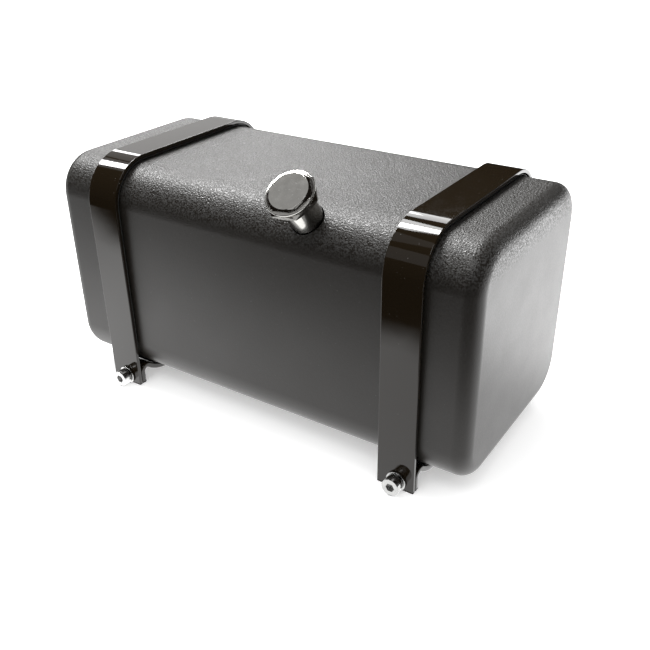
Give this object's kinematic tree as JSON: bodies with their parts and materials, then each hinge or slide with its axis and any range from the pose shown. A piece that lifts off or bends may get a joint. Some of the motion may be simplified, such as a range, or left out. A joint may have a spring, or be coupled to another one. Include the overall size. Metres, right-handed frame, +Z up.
{
  "type": "hydraulic reservoir",
  "caption": "Small strap-mounted hydraulic oil tank with rounded edges, a slanted filler neck with a hexagon screw cap, rear hose ports, a drain plug and a clean-out cover.",
  "frame": {"origin": "on the floor under the middle of the reservoir, which stands on the lower ends of its straps and rails", "axes": "+X along the tank towards the filler's side, +Y to the rear with the hose ports, +Z up"},
  "size_m": [0.125, 0.0728, 0.0733],
  "materials": {
    "tank_plastic": "black, moulded, fine leathery grain",
    "strap_enamel": "gloss black enamel on steel strip",
    "rubber": "black, matt",
    "bright_nickel": "turned and nickel plated, bright",
    "zinc_steel": "bright zinc",
    "brass": "turned",
    "fibre_seal": "red vulcanised fibre",
    "nylon": "natural white"
  },
  "bodies": {
    "reservoir": {"tank_shell": "tank_plastic", "filler_neck": "bright_nickel", "neck_seal": "rubber", "filler_screen": "nylon", "baffle_plate": "tank_plastic", "suction_fitting": "brass", "suction_seal": "fibre_seal", "suction_locknut": "brass", "suction_strainer": "nylon", "return_fitting": "brass", "return_seal": "fibre_seal", "return_locknut": "brass", "return_tube": "nylon", "drain_plug": "zinc_steel", "drain_seal": "rubber", "cleanout_cover": "tank_plastic", "cleanout_gasket": "rubber", "cover_screw_1": "zinc_steel", "cover_screw_2": "zinc_steel", "cover_screw_3": "zinc_steel", "cover_screw_4": "zinc_steel", "cover_screw_5": "zinc_steel", "cover_screw_6": "zinc_steel", "strap_left": "strap_enamel", "strap_right": "strap_enamel", "strap_liner_left": "rubber", "strap_liner_right": "rubber", "rail_left": "strap_enamel", "rail_right": "strap_enamel", "rail_pad_left": "rubber", "rail_pad_right": "rubber", "clamp_screw_front_left": "zinc_steel", "clamp_screw_front_right": "zinc_steel", "clamp_screw_rear_left": "zinc_steel", "clamp_screw_rear_right": "zinc_steel", "clamp_washer_front_left": "zinc_steel", "clamp_washer_front_right": "zinc_steel", "clamp_washer_rear_left": "zinc_steel", "clamp_washer_rear_right": "zinc_steel"},
    "cap_lift": {"filler_cap_seal": "rubber"},
    "cap_turn": {"filler_cap": "bright_nickel"}
  },
  "joints": [
    {"name": "cap_unscrew", "type": "hinge", "parent": "cap_lift", "child": "cap_turn", "pos_m": [0.0176, -0.0189, 0.0534], "axis": [0, -0.6252, 0.7804], "range_deg": [0, 1800]},
    {"name": "cap_rise", "type": "slide", "parent": "reservoir", "child": "cap_lift", "axis": [0, -0.6252, 0.7804], "range_m": [0, 0.005]}
  ],
  "couplings": [
    {"joint": "cap_unscrew", "follows": "cap_rise", "rad_per_m": 6283.2}
  ]
}
